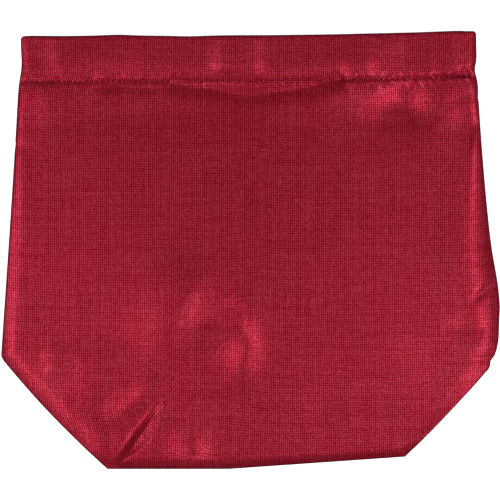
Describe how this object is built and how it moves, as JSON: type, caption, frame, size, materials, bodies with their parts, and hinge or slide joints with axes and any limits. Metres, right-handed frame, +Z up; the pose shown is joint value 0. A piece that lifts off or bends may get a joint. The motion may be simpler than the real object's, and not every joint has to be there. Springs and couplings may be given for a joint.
{
  "type": "toiletry bag",
  "caption": "Soft woven toiletry bag lying flat on its back, with folded boxed corners, a tucked-in base and spring strips sewn into the casings of its mouth.",
  "frame": {"origin": "on the ground, under the middle of the bag's outline, as it lies on its back", "axes": "+X across the bag to its right side, +Y from the base fold to the mouth, +Z up out of the front"},
  "size_m": [0.2188, 0.1924, 0.0166],
  "materials": {
    "woven_polyester": "coarse plain weave with a slight satin sheen",
    "spring_steel": "bright rolled spring strip"
  },
  "bodies": {
    "root": {"bag_body": "woven_polyester", "spring_strip_front": "spring_steel", "spring_strip_back": "spring_steel"}
  },
  "joints": []
}
